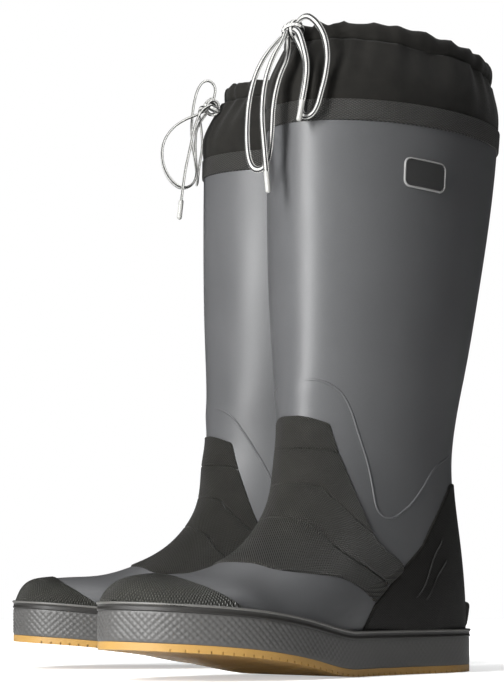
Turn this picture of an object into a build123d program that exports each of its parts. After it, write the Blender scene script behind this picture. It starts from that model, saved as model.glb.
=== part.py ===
from build123d import *
from math import cos, pi, radians, sin, tan
import os

# A pair of knee-high rubber deck boots with a drawcord collar, standing side by side with the toes splayed.
# Each boot is drawn in its own frame: heel at the origin, toe towards -Y, lateral side towards +X, sole on
# Z = 0. "Forward" is the distance from the heel towards the toe, so it is -Y. All lengths are millimetres.

# ---- driving dimensions ------------------------------------------------------------------------------
FOOT_LENGTH = 300.0            # outsole, heel to toe
OUTSOLE_THICKNESS = 4.6
FOXING_TOP = 23.2              # rubber side band of the sole
PIPING_TOP = 28.0              # dark strip that closes the band
BOARD_BASE = 12.0              # underside of the insole board, inside the band
BOARD_THICKNESS = 2.0
RUBBER_WALL = 2.2              # shell of the upper
LINING_WALL = 2.5              # neoprene and jersey lining
OVERLAY = 1.3                  # laminated rubber guards
FOOTBED_THICKNESS = 5.0
FOOTBED_GAP = 0.6              # running clearance round the loose footbed
SHELL_TOP = 361.0              # top edge of the rubber shell
TRIM_BOTTOM = 352.0
TRIM_HEIGHT = 14.0
COLLAR_WALL = 1.6
HEM_RADIUS = 5.5               # half height of the gathered hem tunnel
LACE_DIAMETER = 4.2
BOOT_SPACING = 156.0           # between the two insteps, across the pair
STAGGER = 47.0                 # the left boot stands this far ahead
SPLAY = 15.4                   # each boot turns out by this angle
CENTRE_SHIFT = (0.0, 33.1)      # moves the pair so that the origin is under the middle of its box

# toe lift of the sole: forward position and height above the ground
LIFT_START = 146.0
LIFT_POINTS = [(190, 6.0), (232, 12.6), (270, 16.4), (300, 18.6)]

# The cross sections fan round a point in front of the ankle.
PIVOT_FORWARD = 215.0
PIVOT_HEIGHT = 195.0

# forward, top height, height of the widest line, lateral half width, medial half width, sideways shift
FOOT_SECTIONS = [
    (297, 46.0, 37.0, 9.0, 9.0, -12.5),
    (294, 52.5, 39.0, 16.5, 16.0, -12.0),
    (288, 58.6, 41.0, 27.0, 24.5, -10.0),
    (276, 61.5, 42.0, 37.0, 33.0, -7.0),
    (258, 62.8, 43.5, 43.0, 40.0, -4.0),
    (238, 64.0, 44.0, 46.0, 44.5, -2.0),
]
# angle below the horizontal, distance from the pivot to the near side, far side and widest line, half widths
FAN_SECTIONS = [
    (90, 125.0, 211.0, 165.0, 48.0, 45.5),
    (74, 112.3, 217.3, 165.0, 46.5, 40.5),
    (60, 96.9, 230.5, 162.0, 43.5, 36.5),
    (46, 76.2, 294.0, 170.0, 43.0, 38.0),
    (32, 65.6, 249.0, 160.0, 43.0, 41.0),
    (16, 57.5, 209.0, 136.0, 44.0, 43.0),
]
# height, front and back (forward positions), half width
SHAFT_SECTIONS = [
    (195, 159.1, 1.8, 48.4),
    (240, 160.4, -8.2, 54.3),
    (290, 161.3, -20.2, 57.6),
    (352, 161.2, -32.2, 59.8),
    (370, 161.0, -34.5, 60.2),
]
# the collar's level sections, each with the tilt that raises its front
COLLAR_SECTIONS = [
    (361.5, 161.1, -33.6, 60.0, 0.0),
    (378, 161.5, -34.5, 60.4, 0.8),
    (392, 154.5, -32.0, 57.5, 1.8),
    (404, 146.0, -28.5, 53.5, 3.0),
]
HEM_SECTION = (409.6, 142.5, -27.0, 51.5, 3.0)

# outline of the sole seen from above: forward and sideways position, heel first, round by the lateral side
SOLE_OUTLINE = [
    (0, 0), (5, 19), (22, 33), (50, 38.5), (90, 39.5), (130, 43), (170, 50), (205, 53.5), (240, 49.5),
    (268, 37), (288, 18), (298, -4), (300, -14), (294, -31), (276, -43.5), (245, -50), (210, -51),
    (170, -44), (130, -37), (90, -35), (50, -36), (22, -32), (5, -19),
]

# side views of the laminated guards: forward position and height
TOE_CAP_EDGE = [(218, 22), (226, 30), (246, 43), (262, 54), (270, 61), (273, 75)]
GUARD_BACK = [(150, 163), (143, 140), (138, 122), (132, 104), (122, 84), (99, 68), (112, 57)]
GUARD_FRONT = [(127, 45), (135, 50.5), (147, 56.5), (161, 61), (181, 63), (203, 65.5), (213, 70), (240, 72)]
GUARD_SEAMS = [
    [(240, 141.5), (160, 141.5), (143, 138.5), (120, 134)],
    [(240, 121), (164, 119), (151, 110), (138, 97), (126, 88.5), (100, 72)],
    [(240, 101), (175, 98), (157, 78.5), (131, 65), (108, 54), (92, 46)],
]
HEEL_EDGE = [(-45, 125), (33, 124), (51, 116), (71, 95), (82, 81), (99, 68), (112, 57), (127, 45), (139, 26)]
# the vamp covers the forefoot and meets the leg under the instep guards
VAMP_REGION = [(125, 0), (340, 0), (340, 120), (125, 120)]
KICK_TAB_PROFILE = [(12, 28.2), (-1, 28.2), (-5, 38), (-5.5, 44), (12, 47)]
KICK_TAB_WIDTH = 34.0
BADGE_CENTRE = (90.5, 320.5)
BADGE_SIZE = (35.0, 20.0)
BADGE_CORNER = 5.0
SIPE_WIDTH = 1.0
SIPE_DEPTH = 1.6
SIPE_PITCH = 6.0

# ---- laces: sideways position (lateral positive), forward position and height of each point --------------
KNOT_RADIUS = 7.0
TIP_LENGTH = 13.0
TIP_DIAMETER = 3.6
KNOTS = {"left": (0.0, 155.5, 414.0), "right": (-3.5, 157.3, 403.5)}
LACES = {
    "left": {
        "bow_loop_a": [
            (-5.5, 158, 412), (-4, 170, 403), (-10, 178.5, 387), (-15, 181, 367), (-16.5, 181.5, 347),
            (-16, 181, 330), (-12.5, 180, 321), (-5.5, 178, 320), (-1, 176.5, 328), (1, 176.5, 344),
            (1.5, 176, 362), (4, 173, 380), (6.5, 166, 395), (-1.5, 158.5, 408.5),
        ],
        "bow_loop_b": [
            (4, 155.5, 419), (13, 159, 422), (22, 158.5, 417), (28.5, 156.5, 406.5), (31, 156, 392.5),
            (30, 157.5, 379), (28, 160, 367), (26.5, 161.5, 359), (23, 163, 353.5), (16.5, 164, 353.5),
            (13.5, 164, 359.5), (15.5, 163, 370.5), (17, 161.5, 384), (14.5, 160.5, 396), (4, 157.5, 409.5),
        ],
        "bow_tail_a": [
            (-1, 161.5, 412.5), (6.5, 171, 405), (4, 179, 392), (0, 182.5, 375), (-2, 183, 355),
            (-1, 181.5, 334), (0.5, 181, 317),
        ],
        "bow_tail_b": [
            (4.5, 159.5, 413.5), (13.5, 165, 410.5), (20, 167.5, 399), (23.5, 167.5, 386), (23, 168.5, 373),
            (21, 169.5, 362),
        ],
    },
    "right": {
        "bow_loop_a": [
            (-5, 156.5, 409.5), (-6.5, 155.2, 415), (-7.3, 156.6, 420), (-7.2, 160.6, 423),
            (-6.2, 165.3, 421.5), (-4.5, 168.5, 416), (-2.5, 170.3, 408), (-1, 171.3, 399), (0, 171.7, 389),
            (0, 171.5, 377),
            (-1, 169, 364), (-3, 168, 352.5), (-5, 173, 344), (-6.5, 182, 342), (-7, 190.5, 349), (-7, 195.5, 361), (-7, 195, 375), (-6.5, 187.5, 386.5),
            (-6, 177.5, 393.5), (-5.5, 169, 397), (-5.5, 162, 401),
        ],
        "bow_loop_b": [
            (2.6, 159.5, 404), (10, 163, 406.5), (19, 161.5, 403), (26, 157.5, 393.5), (29, 156, 380.5),
            (28.5, 158.5, 368), (27, 160, 357.5), (23, 161.5, 351.5), (16.5, 163, 351.5), (13.5, 164, 357.5),
            (14, 165, 369), (14, 165.5, 382), (10.5, 165, 393), (-0.5, 161, 399.5),
        ],
        "bow_tail_a": [
            (-9.3, 159, 403.5), (-12.5, 167, 400.5), (-13, 172.5, 388), (-12.5, 176, 370), (-12, 180, 351.5),
            (-11.5, 182, 331.5),
        ],
        "bow_tail_b": [
            (0, 157.5, 408.5), (9, 156, 413.5), (20, 150, 410.5), (30, 143, 402), (36.5, 141, 389),
            (38, 145.5, 375), (37.5, 148, 361),
        ],
    },
}


# ---- shapes shared by several pieces -------------------------------------------------------------------
def section_face(plane, near, far, widest, lateral, medial, shift=0.0):
    """A closed oval made of four quarter ellipses; near and far are measured from the plane's origin."""
    with BuildSketch(plane, mode=Mode.PRIVATE) as face:
        with BuildLine():
            EllipticalCenterArc((shift, widest), lateral, widest - near, start_angle=270, arc_size=90)
            EllipticalCenterArc((shift, widest), lateral, far - widest, start_angle=0, arc_size=90)
            EllipticalCenterArc((shift, widest), medial, far - widest, start_angle=90, arc_size=90)
            EllipticalCenterArc((shift, widest), medial, widest - near, start_angle=180, arc_size=90)
        make_face()
    return face.sketch


def fan_plane(angle, forward=PIVOT_FORWARD, height=PIVOT_HEIGHT):
    """The plane of a cross section: X across the boot, Y away from the pivot."""
    turn = radians(angle)
    return Plane(origin=(0, -forward, height), x_dir=(1, 0, 0), z_dir=(0, sin(turn), cos(turn)))


def level_face(section, growth):
    height, front, back, half_width = section[:4]
    tilt = section[4] if len(section) > 4 else 0.0
    middle = (front + back) / 2
    half_depth = (front - back) / 2 + growth
    plane = fan_plane(tilt, middle, height)
    width = half_width + growth
    return section_face(plane, -half_depth, half_depth, 0.0, width, width)


def boot_form(growth):
    """The solid that fills the boot from toe to shaft top, grown outwards by growth."""
    faces = []
    first = FOOT_SECTIONS[0][0]
    last = FOOT_SECTIONS[-1][0]
    for forward, top, widest, lateral, medial, shift in FOOT_SECTIONS:
        tip_share = (forward - last) / (first - last)
        plane = fan_plane(90, forward + growth * tip_share)
        near = PIVOT_HEIGHT - top - growth
        far = PIVOT_HEIGHT + growth
        middle = PIVOT_HEIGHT - widest
        faces.append(section_face(plane, near, far, middle, lateral + growth, medial + growth, shift))
    for angle, near, far, middle, lateral, medial in FAN_SECTIONS:
        plane = fan_plane(angle)
        faces.append(section_face(plane, near - growth, far + growth, middle, lateral + growth, medial + growth))
    for section in SHAFT_SECTIONS:
        faces.append(level_face(section, growth))
    with BuildPart(mode=Mode.PRIVATE) as form:
        loft(sections=faces)
    return form.part


def sole_outline(high=120.0):
    """A tall prism on the sole's outline."""
    with BuildPart(mode=Mode.PRIVATE) as prism:
        with BuildSketch(Plane.XY.offset(-1)):
            with BuildLine():
                Spline([(side, -forward) for forward, side in SOLE_OUTLINE], periodic=True)
            make_face()
        extrude(amount=high)
    return prism.part


def sole_slab(low, high):
    """Everything between two heights above the sole's lifted underside."""
    reach = 340.0
    ahead = (-reach, LIFT_POINTS[-1][1] + 3.0)
    with BuildPart(mode=Mode.PRIVATE) as slab:
        with BuildSketch(Plane.YZ.offset(-90)):
            with BuildLine():
                for height in (low, high):
                    curve = [(-LIFT_START, height)]
                    curve += [(-forward, height + lift) for forward, lift in LIFT_POINTS]
                    curve.append((ahead[0], height + ahead[1]))
                    Line((90, height), curve[0])
                    Spline(curve, tangents=[(-1, 0), (-1, 0.03)])
                Line((90, low), (90, high))
                Line((ahead[0], low + ahead[1]), (ahead[0], high + ahead[1]))
            make_face()
        extrude(amount=180)
    return slab.part


def side_prism(points):
    """A side-view polygon, given as forward and height, carried right across the boot."""
    with BuildPart(mode=Mode.PRIVATE) as prism:
        with BuildSketch(Plane.YZ.offset(-90)):
            with BuildLine():
                Polyline([(-forward, height) for forward, height in points], close=True)
            make_face()
        extrude(amount=180)
    return prism.part


def level_ring(sections, outer, inner):
    """A ring lofted through level ovals, between two growths."""
    with BuildPart(mode=Mode.PRIVATE) as ring:
        loft(sections=[level_face(section, outer) for section in sections])
        loft(sections=[level_face(section, inner) for section in sections], mode=Mode.SUBTRACT)
    return ring.part


form = boot_form(0.0)
form_inside = boot_form(-RUBBER_WALL)
form_lined = boot_form(-RUBBER_WALL - LINING_WALL)
overlay_skin = boot_form(OVERLAY) - form


# ---- sole ------------------------------------------------------------------------------------------------
with BuildPart() as outsole:
    add(sole_outline() & sole_slab(0, OUTSOLE_THICKNESS))
    with BuildSketch(Plane.XY.offset(-1)):
        with GridLocations(0, SIPE_PITCH, 1, int(FOOT_LENGTH / SIPE_PITCH) - 4):
            Rectangle(200, SIPE_WIDTH)
    lines = Pos(0, -FOOT_LENGTH / 2, 0) * extrude(amount=60, mode=Mode.PRIVATE)
    add(lines & sole_slab(-1, SIPE_DEPTH), mode=Mode.SUBTRACT)

with BuildPart() as foxing:
    add(sole_outline() & sole_slab(OUTSOLE_THICKNESS, FOXING_TOP))
    add(form, mode=Mode.SUBTRACT)

with BuildPart() as foxing_piping:
    add(sole_outline() & sole_slab(FOXING_TOP, PIPING_TOP))
    add(form, mode=Mode.SUBTRACT)

with BuildPart() as midsole:
    add(form & sole_slab(OUTSOLE_THICKNESS, BOARD_BASE))

with BuildPart() as insole_board:
    add(form_inside & sole_slab(BOARD_BASE, BOARD_BASE + BOARD_THICKNESS))

with BuildPart() as footbed:
    bed_base = BOARD_BASE + BOARD_THICKNESS + FOOTBED_GAP
    add(boot_form(-RUBBER_WALL - LINING_WALL - FOOTBED_GAP) & sole_slab(bed_base, bed_base + FOOTBED_THICKNESS))

# ---- upper and lining ------------------------------------------------------------------------------------
with BuildPart(mode=Mode.PRIVATE) as shell:
    add(form & sole_slab(BOARD_BASE, 500))
    add(form_inside, mode=Mode.SUBTRACT)
    split(bisect_by=Plane.XY.offset(SHELL_TOP), keep=Keep.BOTTOM)

with BuildPart() as vamp:
    add(shell.part & side_prism(VAMP_REGION))

with BuildPart() as leg:
    add(shell.part)
    add(side_prism(VAMP_REGION), mode=Mode.SUBTRACT)

with BuildPart() as lining:
    add(form_inside & sole_slab(BOARD_BASE + BOARD_THICKNESS, 500))
    add(form_lined, mode=Mode.SUBTRACT)
    split(bisect_by=Plane.XY.offset(SHELL_TOP - 1), keep=Keep.BOTTOM)

# ---- laminated guards, on the outside of the upper --------------------------------------------------------
upper_skin = overlay_skin & sole_slab(PIPING_TOP, 500)
guard_region = side_prism([(240, 163)] + GUARD_BACK + GUARD_FRONT)
guard_skin = upper_skin & guard_region

with BuildPart() as toe_cap:
    add(upper_skin & side_prism(TOE_CAP_EDGE + [(340, 75), (340, 22)]))

with BuildPart() as instep_guard_top:
    add(guard_skin & side_prism(GUARD_SEAMS[0] + [(120, 180), (240, 180)]))

with BuildPart() as instep_guard_upper:
    add(guard_skin & side_prism(GUARD_SEAMS[0] + GUARD_SEAMS[1][::-1]))

with BuildPart() as instep_guard_middle:
    add(guard_skin & side_prism(GUARD_SEAMS[1] + GUARD_SEAMS[2][::-1]))

with BuildPart() as instep_guard_lower:
    add(guard_skin & side_prism(GUARD_SEAMS[2] + [(92, 0), (240, 0)]))

with BuildPart() as heel_guard:
    add(upper_skin & side_prism(HEEL_EDGE + [(139, 0), (-45, 0)]))

with BuildPart() as kick_tab:
    add(side_prism(KICK_TAB_PROFILE))
    with BuildSketch():
        Rectangle(KICK_TAB_WIDTH, 60)
    extrude(amount=80, mode=Mode.INTERSECT)
    add(boot_form(OVERLAY), mode=Mode.SUBTRACT)

with BuildPart() as badge:
    badge_plane = Plane(origin=(0, -BADGE_CENTRE[0], BADGE_CENTRE[1]), x_dir=(0, 1, 0), z_dir=(1, 0, 0))
    with BuildSketch(badge_plane):
        RectangleRounded(BADGE_SIZE[0], BADGE_SIZE[1], BADGE_CORNER)
    extrude(amount=120)
    add(overlay_skin, mode=Mode.INTERSECT)

# ---- trim, collar and hem --------------------------------------------------------------------------------
with BuildPart() as collar:
    add(level_ring(COLLAR_SECTIONS, -0.1, -COLLAR_WALL))

with BuildPart() as top_trim:
    add(overlay_skin)
    split(bisect_by=Plane.XY.offset(TRIM_BOTTOM), keep=Keep.TOP)
    split(bisect_by=Plane.XY.offset(TRIM_BOTTOM + TRIM_HEIGHT), keep=Keep.BOTTOM)
    add(collar.part, mode=Mode.SUBTRACT)


def hem_tube(outer, inner=0.0):
    """A round tube that follows the collar's top edge."""
    height, front, back, half_width, tilt = HEM_SECTION
    half_depth = (front - back) / 2
    plane = fan_plane(tilt, (front + back) / 2, height)
    with BuildPart(mode=Mode.PRIVATE) as tube:
        with BuildLine(plane) as route:
            EllipticalCenterArc((0, 0), half_width, half_depth, arc_size=360)
        start = Plane(origin=route.line @ 0, z_dir=route.line % 0)
        with BuildSketch(start):
            Circle(outer)
            if inner:
                Circle(inner, mode=Mode.SUBTRACT)
        sweep(path=route.line)
    return tube.part


with BuildPart() as collar_hem:
    add(hem_tube(HEM_RADIUS, LACE_DIAMETER / 2 + 0.4))

with BuildPart() as drawcord:
    add(hem_tube(LACE_DIAMETER / 2))


# ---- laces ------------------------------------------------------------------------------------------------
def bend_radii(points):
    """The largest arc at each corner that leaves a tenth of the shorter run straight between arcs."""
    radii = []
    for before, corner, after in zip(points, points[1:], points[2:]):
        arriving = corner - before
        leaving = after - corner
        turn = radians(arriving.get_angle(leaving))
        radii.append(0.45 * min(arriving.length, leaving.length) / tan(turn / 2))
    return radii


def lace_points(points):
    return [Vector(side, -forward, height) for side, forward, height in points]


def lace_tube(name, points):
    """A lace along straight runs joined by tangent arcs."""
    corners = lace_points(points)
    radii = bend_radii(corners)
    with BuildPart(mode=Mode.PRIVATE) as tube:
        with BuildLine() as route:
            FilletPolyline(*corners, radius=radii)
        with BuildSketch(Plane(origin=corners[0], z_dir=corners[1] - corners[0])):
            Circle(LACE_DIAMETER / 2)
        sweep(path=route.line)
    length = route.wire().length
    ratio = tube.part.volume / (length * pi * LACE_DIAMETER**2 / 4)
    print(name, "length", round(length, 1), "volume ratio", round(ratio, 4), "radii", [round(r, 1) for r in radii])
    return tube.part


def lace_tip(points):
    """The moulded sleeve on the end of a tail, in line with its last run."""
    corners = lace_points(points)
    with BuildPart(mode=Mode.PRIVATE) as tip:
        with BuildSketch(Plane(origin=corners[-1], z_dir=corners[-1] - corners[-2])):
            Circle(TIP_DIAMETER / 2)
        extrude(amount=TIP_LENGTH)
        fillet(tip.faces().sort_by(Axis.Z)[0].edges(), 0.8)
    return tip.part


def bow_knot(centre):
    side, forward, height = centre
    with BuildPart(mode=Mode.PRIVATE) as knot:
        with Locations((side, -forward, height)):
            Sphere(KNOT_RADIUS)
    return knot.part


# ---- the pair ---------------------------------------------------------------------------------------------
shared_pieces = {
    "outsole": outsole, "foxing": foxing, "foxing_piping": foxing_piping, "midsole": midsole,
    "insole_board": insole_board, "footbed": footbed, "vamp": vamp, "leg": leg, "lining": lining,
    "toe_cap": toe_cap, "instep_guard_top": instep_guard_top, "instep_guard_upper": instep_guard_upper,
    "instep_guard_middle": instep_guard_middle, "instep_guard_lower": instep_guard_lower,
    "heel_guard": heel_guard, "kick_tab": kick_tab, "badge": badge, "top_trim": top_trim,
    "collar": collar, "collar_hem": collar_hem, "drawcord": drawcord,
}


def stand(shape, side):
    """Carries a piece from the boot's own frame to its place in the pair."""
    sign = 1 if side == "left" else -1
    turn = radians(SPLAY)
    heel_x = sign * (BOOT_SPACING / 2 - 100 * sin(turn)) + CENTRE_SHIFT[0]
    heel_y = -sign * STAGGER / 2 + 100 * cos(turn) + CENTRE_SHIFT[1]
    handed = shape if side == "left" else shape.mirror(Plane.YZ)
    return Location((heel_x, heel_y, 0), (0, 0, sign * SPLAY)) * handed


def write_node(shape, name, side):
    with BuildPart() as node:
        add(stand(shape, side))
    node.part.label = f"{name}_{side}"
    export_step(node.part, f"parts/{name}_{side}.step")


os.makedirs("parts", exist_ok=True)
for side in ("left", "right"):
    for name, piece in shared_pieces.items():
        write_node(piece.part, name, side)
    write_node(bow_knot(KNOTS[side]), "bow_knot", side)
    for name, points in LACES[side].items():
        write_node(lace_tube(f"{name}_{side}", points), name, side)
        if "tail" in name:
            write_node(lace_tip(points), name.replace("bow_tail", "lace_tip"), side)
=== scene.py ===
from math import cos, pi, radians, sin

import bpy
import numpy as np
from mathutils import Matrix, Vector


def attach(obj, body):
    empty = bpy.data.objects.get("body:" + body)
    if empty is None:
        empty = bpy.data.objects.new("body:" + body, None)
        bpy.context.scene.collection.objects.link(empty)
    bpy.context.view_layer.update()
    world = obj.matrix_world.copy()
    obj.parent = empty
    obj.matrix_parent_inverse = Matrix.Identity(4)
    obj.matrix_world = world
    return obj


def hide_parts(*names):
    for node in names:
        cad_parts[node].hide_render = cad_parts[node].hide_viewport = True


# The looks of a pair of knee-high rubber deck boots with a gathered collar and a striped lace.
# Each boot is drawn in its own frame, in millimetres: x across (lateral positive), forward from the heel
# towards the toe, and height. place() carries the points to the pair's frame, in metres.

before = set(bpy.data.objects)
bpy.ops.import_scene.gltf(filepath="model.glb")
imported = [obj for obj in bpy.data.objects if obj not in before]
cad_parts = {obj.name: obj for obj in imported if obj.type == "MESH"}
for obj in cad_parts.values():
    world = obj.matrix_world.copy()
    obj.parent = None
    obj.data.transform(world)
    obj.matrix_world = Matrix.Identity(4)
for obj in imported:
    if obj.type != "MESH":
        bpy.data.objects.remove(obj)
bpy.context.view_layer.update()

MM = 0.001
SIDES = ("left", "right")

# ---- sizes shared with the CAD model, in millimetres ------------
BOOT_SPACING = 156.0
STAGGER = 47.0
SPLAY = radians(15.4)
FORWARD_SHIFT = 33.1
OUTSOLE_THICKNESS = 4.6
FOXING_TOP = 23.2
PIPING_TOP = 28.0
BOARD_BASE = 12.0
RUBBER_WALL = 2.2
OVERLAY = 1.3
SHELL_TOP = 361.0
TRIM_BOTTOM = 352.0
TRIM_TOP = 366.0
LACE_WIDTH = 4.2
LACE_THICKNESS = 1.7
ROUND_SIDES = 16
TIP_LENGTH = 13.0
TIP_OVERLAP = 1.5
TIP_RADIUS = 1.8
TIP_RINGS = 44
TIP_RIBS = 14

LIFT_START = 146.0
LIFT_POINTS = [(190, 6.0), (232, 12.6), (270, 16.4), (300, 18.6)]
LIFT_END = 340.0
LIFT_END_RISE = 3.0

MEAN_RADIUS = 55.0
SHAFT_RADIUS = 56.0

PIVOT_FORWARD = 215.0
PIVOT_HEIGHT = 195.0
FOOT_SECTIONS = [
    (297, 46.0, 37.0, 9.0, 9.0, -12.5),
    (294, 52.5, 39.0, 16.5, 16.0, -12.0),
    (288, 58.6, 41.0, 27.0, 24.5, -10.0),
    (276, 61.5, 42.0, 37.0, 33.0, -7.0),
    (258, 62.8, 43.5, 43.0, 40.0, -4.0),
    (238, 64.0, 44.0, 46.0, 44.5, -2.0),
]
FAN_SECTIONS = [
    (90, 125.0, 211.0, 165.0, 48.0, 45.5),
    (74, 112.3, 217.3, 165.0, 46.5, 40.5),
    (60, 96.9, 230.5, 162.0, 43.5, 36.5),
    (46, 76.2, 294.0, 170.0, 43.0, 38.0),
    (32, 65.6, 249.0, 160.0, 43.0, 41.0),
    (16, 57.5, 209.0, 136.0, 44.0, 43.0),
]
SHAFT_SECTIONS = [
    (195, 159.1, 1.8, 48.4),
    (240, 160.4, -8.2, 54.3),
    (290, 161.3, -20.2, 57.6),
    (352, 161.2, -32.2, 59.8),
    (370, 161.0, -34.5, 60.2),
]
COLLAR_SECTIONS = [
    (355.0, 161.1, -33.2, 59.9, 0.0),
    (361.5, 161.1, -33.6, 60.0, 0.0),
    (378, 161.5, -34.5, 60.4, 0.8),
    (392, 154.5, -32.0, 57.5, 1.8),
    (404, 146.0, -28.5, 53.5, 3.0),
]
HEM_SECTION = (409.6, 142.5, -27.0, 51.5, 3.0)

SOLE_OUTLINE = [
    (0, 0), (5, 19), (22, 33), (50, 38.5), (90, 39.5), (130, 43), (170, 50), (205, 53.5), (240, 49.5),
    (268, 37), (288, 18), (298, -4), (300, -14), (294, -31), (276, -43.5), (245, -50), (210, -51),
    (170, -44), (130, -37), (90, -35), (50, -36), (22, -32), (5, -19),
]

TOE_CAP_EDGE = [(212, 18), (218, 22), (226, 30), (246, 43), (262, 54), (270, 61), (273, 75)]
GUARD_BACK = [(147, 160), (143, 140), (138, 122), (132, 104), (122, 84), (99, 68), (112, 57)]
GUARD_FRONT = [(127, 45), (135, 50.5), (147, 56.5), (161, 61), (181, 63), (203, 65.5), (213, 70), (240, 72)]
GUARD_SEAMS = [
    [(240, 141.5), (160, 141.5), (143, 138.5), (120, 134)],
    [(240, 121), (164, 119), (151, 110), (138, 97), (126, 88.5), (100, 72)],
    [(240, 101), (175, 98), (157, 78.5), (131, 65), (108, 54), (92, 46)],
]
HEEL_EDGE = [(-45, 125), (33, 124), (51, 116), (71, 95), (82, 81), (99, 68), (112, 57), (127, 45), (139, 26)]
BADGE_CENTRE = (90.5, 320.5)
BADGE_SIZE = (35.0, 20.0)
BADGE_CORNER = 5.0
BADGE_TILT = radians(2.5)

KNOTS = {"left": (0.0, 155.5, 414.0), "right": (-3.5, 157.3, 403.5)}
LACES = {
    "left": {
        "bow_loop_a": [
            (-5.5, 158, 412), (-4, 170, 403), (-10, 178.5, 387), (-15, 181, 367), (-16.5, 181.5, 347),
            (-16, 181, 330), (-12.5, 180, 321), (-5.5, 178, 320), (-1, 176.5, 328), (1, 176.5, 344),
            (1.5, 176, 362), (4, 173, 380), (6.5, 166, 395), (-1.5, 158.5, 408.5),
        ],
        "bow_loop_b": [
            (4, 155.5, 419), (13, 159, 422), (22, 158.5, 417), (28.5, 156.5, 406.5), (31, 156, 392.5),
            (30, 157.5, 379), (28, 160, 367), (26.5, 161.5, 359), (23, 163, 353.5), (16.5, 164, 353.5),
            (13.5, 164, 359.5), (15.5, 163, 370.5), (17, 161.5, 384), (14.5, 160.5, 396), (4, 157.5, 409.5),
        ],
        "bow_tail_a": [
            (-1, 161.5, 412.5), (6.5, 171, 405), (4, 179, 392), (0, 182.5, 375), (-2, 183, 355),
            (-1, 181.5, 334), (0.5, 181, 317),
        ],
        "bow_tail_b": [
            (4.5, 159.5, 413.5), (13.5, 165, 410.5), (20, 167.5, 399), (23.5, 167.5, 386), (23, 168.5, 373),
            (21, 169.5, 362),
        ],
    },
    "right": {
        "bow_loop_a": [
            (-5, 156.5, 409.5), (-6.5, 155.2, 415), (-7.3, 156.6, 420), (-7.2, 160.6, 423),
            (-6.2, 165.3, 421.5), (-4.5, 168.5, 416), (-2.5, 170.3, 408), (-1, 171.3, 399), (0, 171.7, 389),
            (0, 171.5, 377),
            (-1, 169, 364), (-3, 168, 352.5), (-5, 173, 344), (-6.5, 182, 342), (-7, 190.5, 349),
            (-7, 195.5, 361), (-7, 195, 375), (-6.5, 187.5, 386.5), (-6, 177.5, 393.5), (-5.5, 169, 397),
            (-5.5, 162, 401),
        ],
        "bow_loop_b": [
            (2.6, 159.5, 404), (10, 163, 406.5), (19, 161.5, 403), (26, 157.5, 393.5), (29, 156, 380.5),
            (28.5, 158.5, 368), (27, 160, 357.5), (23, 161.5, 351.5), (16.5, 163, 351.5), (13.5, 164, 357.5),
            (14, 165, 369), (14, 165.5, 382), (10.5, 165, 393), (-0.5, 161, 399.5),
        ],
        "bow_tail_a": [
            (-9.3, 159, 403.5), (-12.5, 167, 400.5), (-13, 172.5, 388), (-12.5, 176, 370), (-12, 180, 351.5),
            (-11.5, 182, 331.5),
        ],
        "bow_tail_b": [
            (0, 157.5, 408.5), (9, 156, 413.5), (20, 150, 410.5), (30, 143, 402), (36.5, 141, 389),
            (38, 145.5, 375), (37.5, 148, 361),
        ],
    },
}


def place(points, side):
    """Carries points from a boot's own frame to the pair's frame, in metres."""
    sign = 1 if side == "left" else -1
    points = np.asarray(points, float)
    across, back, height = sign * points[..., 0], -points[..., 1], points[..., 2]
    turn = sign * SPLAY
    heel_x = sign * (BOOT_SPACING / 2 - 100 * sin(SPLAY))
    heel_y = -sign * STAGGER / 2 + 100 * cos(SPLAY) + FORWARD_SHIFT
    x = across * cos(turn) - back * sin(turn) + heel_x
    y = across * sin(turn) + back * cos(turn) + heel_y
    return np.stack([x, y, height], axis=-1) * MM


# ---- the boot's surface ------------
def on_plane(theta, section, turn, forward, height):
    """Points of an oval of four quarter ellipses on a cross-section plane."""
    near, far, widest, lateral, medial, shift = section
    across = shift + np.where(np.cos(theta) > 0, lateral, medial) * np.cos(theta)
    away = widest + np.where(np.sin(theta) > 0, far - widest, widest - near) * np.sin(theta)
    return np.stack([across, forward - away * cos(turn), height - away * sin(turn)], axis=-1)


def level_oval(theta, section, growth):
    height, front, back, half_width = section[:4]
    tilt = radians(section[4]) if len(section) > 4 else 0.0
    depth = (front - back) / 2 + growth
    width = half_width + growth
    return on_plane(theta, (-depth, depth, 0.0, width, width, 0.0), tilt, (front + back) / 2, height)


def boot_sections(theta, growth):
    """The boot's cross sections from toe to shaft top, grown outwards."""
    rows = []
    first, last = FOOT_SECTIONS[0][0], FOOT_SECTIONS[-1][0]
    for forward, top, widest, lateral, medial, shift in FOOT_SECTIONS:
        ahead = forward + growth * (forward - last) / (first - last)
        near = PIVOT_HEIGHT - top - growth
        oval = (near, PIVOT_HEIGHT + growth, PIVOT_HEIGHT - widest, lateral + growth, medial + growth, shift)
        rows.append(on_plane(theta, oval, pi / 2, ahead, PIVOT_HEIGHT))
    for angle, near, far, widest, lateral, medial in FAN_SECTIONS:
        oval = (near - growth, far + growth, widest, lateral + growth, medial + growth, 0.0)
        rows.append(on_plane(theta, oval, radians(angle), PIVOT_FORWARD, PIVOT_HEIGHT))
    for section in SHAFT_SECTIONS:
        rows.append(level_oval(theta, section, growth))
    return np.stack(rows)


def collar_sections(theta, growth):
    return np.stack([level_oval(theta, section, growth) for section in COLLAR_SECTIONS])


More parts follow.
